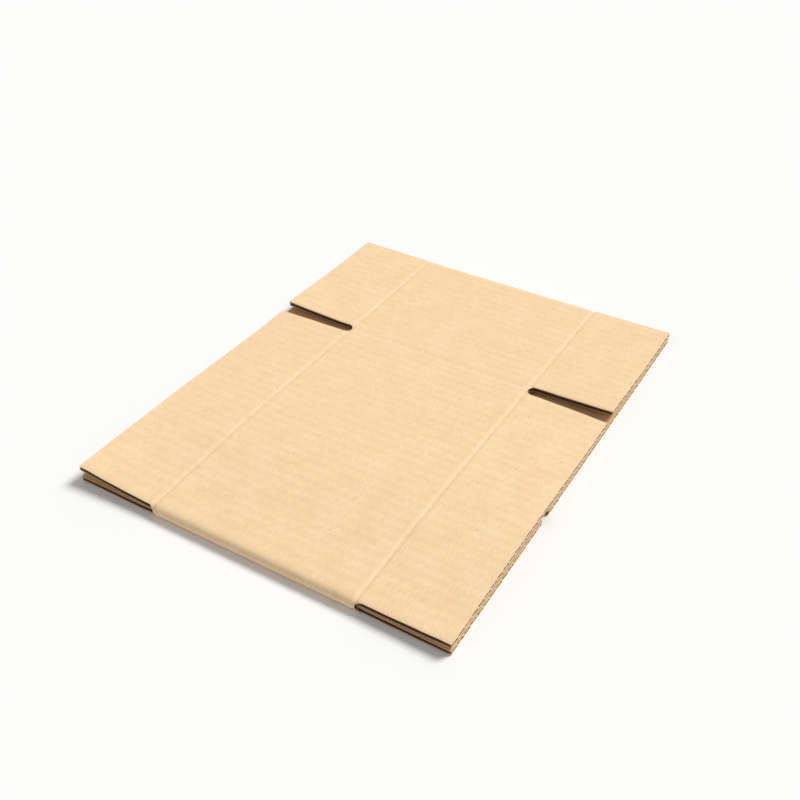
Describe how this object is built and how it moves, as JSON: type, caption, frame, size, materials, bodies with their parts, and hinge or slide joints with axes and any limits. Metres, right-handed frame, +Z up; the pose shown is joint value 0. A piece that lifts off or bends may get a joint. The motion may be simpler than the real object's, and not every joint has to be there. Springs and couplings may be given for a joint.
{
  "type": "flattened cardboard box",
  "caption": "Slotted carton of single-wall corrugated board, folded flat and lying on one side, with slotted flaps, creases, round folds and a glued lap joint.",
  "frame": {"origin": "under the middle of the flattened sleeve, on the floor", "axes": "+X along the flutes, which is the height of the opened box; +Y across the sleeve from the front fold to the rear fold; +Z up, out of the scored outer face"},
  "size_m": [0.21, 0.27, 0.0088],
  "materials": {
    "kraft_board": "matte kraft paper"
  },
  "bodies": {
    "root": {"flattened_box": "kraft_board"}
  },
  "joints": []
}
